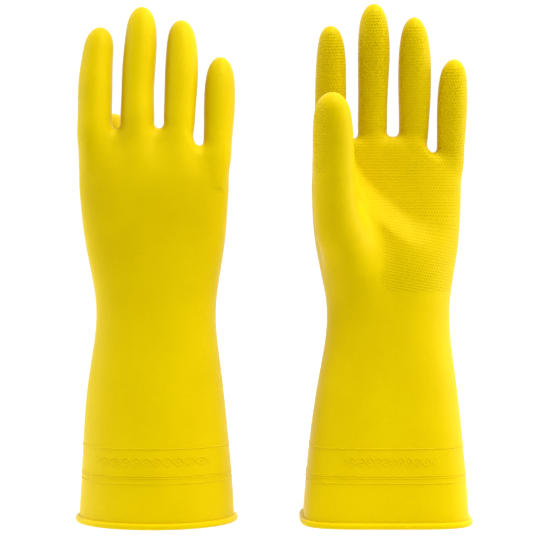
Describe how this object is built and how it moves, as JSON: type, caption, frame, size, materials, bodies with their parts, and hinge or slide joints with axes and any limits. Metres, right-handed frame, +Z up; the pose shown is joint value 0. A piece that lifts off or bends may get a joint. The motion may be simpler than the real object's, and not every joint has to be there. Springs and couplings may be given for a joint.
{
  "type": "rubber gloves",
  "caption": "Pair of long household rubber gloves with a textured palm, five shaped fingers and a flared cuff with a rolled edge, standing on the cuffs.",
  "frame": {"origin": "bottom centre of the pair's bounding box, on the surface the cuffs stand on", "axes": "+Z up, from the cuffs to the fingertips; +X from the right-hand glove to the left-hand glove; the right-hand glove's palm faces +Y and the left-hand glove's palm faces -Y"},
  "size_m": [0.2401, 0.11, 0.3147],
  "materials": {
    "latex": "satin",
    "latex_bead": "satin",
    "flock_lining": "matte"
  },
  "bodies": {
    "right_cuff": {"right_cuff_bead": "latex_bead", "right_cuff_shell": "latex", "right_wrist_flex": "latex", "right_cuff_lining": "flock_lining"},
    "right_hand": {"right_hand_shell": "latex", "right_hand_lining": "flock_lining", "right_thumb_root_flex": "latex", "right_index_root_flex": "latex", "right_middle_root_flex": "latex", "right_ring_root_flex": "latex", "right_little_root_flex": "latex"},
    "right_thumb_lower": {"right_thumb_lower": "latex", "right_thumb_mid_flex": "latex"},
    "right_thumb_tip": {"right_thumb_tip": "latex"},
    "right_index_lower": {"right_index_lower": "latex", "right_index_mid_flex": "latex"},
    "right_index_tip": {"right_index_tip": "latex"},
    "right_middle_lower": {"right_middle_lower": "latex", "right_middle_mid_flex": "latex"},
    "right_middle_tip": {"right_middle_tip": "latex"},
    "right_ring_lower": {"right_ring_lower": "latex", "right_ring_mid_flex": "latex"},
    "right_ring_tip": {"right_ring_tip": "latex"},
    "right_little_lower": {"right_little_lower": "latex", "right_little_mid_flex": "latex"},
    "right_little_tip": {"right_little_tip": "latex"},
    "left_cuff": {"left_cuff_bead": "latex_bead", "left_cuff_shell": "latex", "left_wrist_flex": "latex", "left_cuff_lining": "flock_lining"},
    "left_hand": {"left_hand_shell": "latex", "left_hand_lining": "flock_lining", "left_thumb_root_flex": "latex", "left_index_root_flex": "latex", "left_middle_root_flex": "latex", "left_ring_root_flex": "latex", "left_little_root_flex": "latex"},
    "left_thumb_lower": {"left_thumb_lower": "latex", "left_thumb_mid_flex": "latex"},
    "left_thumb_tip": {"left_thumb_tip": "latex"},
    "left_index_lower": {"left_index_lower": "latex", "left_index_mid_flex": "latex"},
    "left_index_tip": {"left_index_tip": "latex"},
    "left_middle_lower": {"left_middle_lower": "latex", "left_middle_mid_flex": "latex"},
    "left_middle_tip": {"left_middle_tip": "latex"},
    "left_ring_lower": {"left_ring_lower": "latex", "left_ring_mid_flex": "latex"},
    "left_ring_tip": {"left_ring_tip": "latex"},
    "left_little_lower": {"left_little_lower": "latex", "left_little_mid_flex": "latex"},
    "left_little_tip": {"left_little_tip": "latex"}
  },
  "joints": [
    {"name": "right_wrist_bend", "type": "hinge", "parent": "right_cuff", "child": "right_hand", "pos_m": [-0.0709, 0, 0.1224], "axis": [-1, 0, 0], "range_deg": [-35, 40], "stiffness_Nm_per_rad": 0.5, "deforming": ["right_wrist_flex", "right_cuff_lining"]},
    {"name": "right_thumb_root_bend", "type": "hinge", "parent": "right_hand", "child": "right_thumb_lower", "pos_m": [-0.10371, 0.02773, 0.19999], "axis": [0, -0.9373, 0.3484], "range_deg": [-8, 35], "stiffness_Nm_per_rad": 0.05, "deforming": ["right_thumb_root_flex", "right_hand_lining"]},
    {"name": "right_thumb_mid_bend", "type": "hinge", "parent": "right_thumb_lower", "child": "right_thumb_tip", "pos_m": [-0.10475, 0.03748, 0.22622], "axis": [0, -0.9373, 0.3484], "range_deg": [-40, 10], "stiffness_Nm_per_rad": 0.02, "deforming": ["right_thumb_mid_flex", "right_hand_lining"]},
    {"name": "right_index_root_bend", "type": "hinge", "parent": "right_hand", "child": "right_index_lower", "pos_m": [-0.10938, -0.00619, 0.24867], "axis": [-1, 0, 0], "range_deg": [-15, 45], "stiffness_Nm_per_rad": 0.03, "deforming": ["right_index_root_flex", "right_hand_lining"]},
    {"name": "right_index_mid_bend", "type": "hinge", "parent": "right_index_lower", "child": "right_index_tip", "pos_m": [-0.10889, -0.00103, 0.27282], "axis": [-1, 0, 0], "range_deg": [0, 60], "stiffness_Nm_per_rad": 0.012, "deforming": ["right_index_mid_flex", "right_hand_lining"]},
    {"name": "right_middle_root_bend", "type": "hinge", "parent": "right_hand", "child": "right_middle_lower", "pos_m": [-0.08297, -0.0066, 0.24908], "axis": [-1, 0, 0], "range_deg": [-15, 45], "stiffness_Nm_per_rad": 0.03, "deforming": ["right_middle_root_flex", "right_hand_lining"]},
    {"name": "right_middle_mid_bend", "type": "hinge", "parent": "right_middle_lower", "child": "right_middle_tip", "pos_m": [-0.08283, -0.00059, 0.27765], "axis": [-1, 0, 0], "range_deg": [0, 60], "stiffness_Nm_per_rad": 0.012, "deforming": ["right_middle_mid_flex", "right_hand_lining"]},
    {"name": "right_ring_root_bend", "type": "hinge", "parent": "right_hand", "child": "right_ring_lower", "pos_m": [-0.05597, -0.00649, 0.24905], "axis": [-1, 0, 0], "range_deg": [-15, 45], "stiffness_Nm_per_rad": 0.03, "deforming": ["right_ring_root_flex", "right_hand_lining"]},
    {"name": "right_ring_mid_bend", "type": "hinge", "parent": "right_ring_lower", "child": "right_ring_tip", "pos_m": [-0.05626, -0.00054, 0.27456], "axis": [-1, 0, 0], "range_deg": [0, 60], "stiffness_Nm_per_rad": 0.012, "deforming": ["right_ring_mid_flex", "right_hand_lining"]},
    {"name": "right_little_root_bend", "type": "hinge", "parent": "right_hand", "child": "right_little_lower", "pos_m": [-0.03351, -0.00608, 0.23745], "axis": [-1, 0, 0], "range_deg": [-15, 45], "stiffness_Nm_per_rad": 0.03, "deforming": ["right_little_root_flex", "right_hand_lining"]},
    {"name": "right_little_mid_bend", "type": "hinge", "parent": "right_little_lower", "child": "right_little_tip", "pos_m": [-0.03317, -0.00137, 0.2576], "axis": [-1, 0, 0], "range_deg": [0, 60], "stiffness_Nm_per_rad": 0.012, "deforming": ["right_little_mid_flex", "right_hand_lining"]},
    {"name": "gloves_part", "type": "slide", "parent": "right_cuff", "child": "left_cuff", "axis": [1, 0, 0], "range_m": [0, 0.25]},
    {"name": "left_wrist_bend", "type": "hinge", "parent": "left_cuff", "child": "left_hand", "pos_m": [0.0679, 0, 0.1224], "axis": [1, 0, 0], "range_deg": [-35, 40], "stiffness_Nm_per_rad": 0.5, "deforming": ["left_wrist_flex", "left_cuff_lining"]},
    {"name": "left_thumb_root_bend", "type": "hinge", "parent": "left_hand", "child": "left_thumb_lower", "pos_m": [0.036, -0.02773, 0.19999], "axis": [0, -0.9373, -0.3484], "range_deg": [-8, 35], "stiffness_Nm_per_rad": 0.05, "deforming": ["left_thumb_root_flex", "left_hand_lining"]},
    {"name": "left_thumb_mid_bend", "type": "hinge", "parent": "left_thumb_lower", "child": "left_thumb_tip", "pos_m": [0.0349, -0.03748, 0.22621], "axis": [0, -0.9373, -0.3484], "range_deg": [-40, 10], "stiffness_Nm_per_rad": 0.02, "deforming": ["left_thumb_mid_flex", "left_hand_lining"]},
    {"name": "left_index_root_bend", "type": "hinge", "parent": "left_hand", "child": "left_index_lower", "pos_m": [0.0349, 0.0063, 0.24299], "axis": [1, 0, 0], "range_deg": [-15, 45], "stiffness_Nm_per_rad": 0.03, "deforming": ["left_index_root_flex", "left_hand_lining"]},
    {"name": "left_index_mid_bend", "type": "hinge", "parent": "left_index_lower", "child": "left_index_tip", "pos_m": [0.0349, 0.00124, 0.26921], "axis": [1, 0, 0], "range_deg": [0, 60], "stiffness_Nm_per_rad": 0.012, "deforming": ["left_index_mid_flex", "left_hand_lining"]},
    {"name": "left_middle_root_bend", "type": "hinge", "parent": "left_hand", "child": "left_middle_lower", "pos_m": [0.06077, 0.0067, 0.24369], "axis": [1, 0, 0], "range_deg": [-15, 45], "stiffness_Nm_per_rad": 0.03, "deforming": ["left_middle_root_flex", "left_hand_lining"]},
    {"name": "left_middle_mid_bend", "type": "hinge", "parent": "left_middle_lower", "child": "left_middle_tip", "pos_m": [0.06113, 0.00077, 0.27432], "axis": [1, 0, 0], "range_deg": [0, 60], "stiffness_Nm_per_rad": 0.012, "deforming": ["left_middle_mid_flex", "left_hand_lining"]},
    {"name": "left_ring_root_bend", "type": "hinge", "parent": "left_hand", "child": "left_ring_lower", "pos_m": [0.0865, 0.00658, 0.24367], "axis": [1, 0, 0], "range_deg": [-15, 45], "stiffness_Nm_per_rad": 0.03, "deforming": ["left_ring_root_flex", "left_hand_lining"]},
    {"name": "left_ring_mid_bend", "type": "hinge", "parent": "left_ring_lower", "child": "left_ring_tip", "pos_m": [0.0865, 0.00068, 0.27125], "axis": [1, 0, 0], "range_deg": [0, 60], "stiffness_Nm_per_rad": 0.012, "deforming": ["left_ring_mid_flex", "left_hand_lining"]},
    {"name": "left_little_root_bend", "type": "hinge", "parent": "left_hand", "child": "left_little_lower", "pos_m": [0.1091, 0.00614, 0.23296], "axis": [1, 0, 0], "range_deg": [-15, 45], "stiffness_Nm_per_rad": 0.03, "deforming": ["left_little_root_flex", "left_hand_lining"]},
    {"name": "left_little_mid_bend", "type": "hinge", "parent": "left_little_lower", "child": "left_little_tip", "pos_m": [0.1091, 0.00153, 0.25365], "axis": [1, 0, 0], "range_deg": [0, 60], "stiffness_Nm_per_rad": 0.012, "deforming": ["left_little_mid_flex", "left_hand_lining"]}
  ]
}
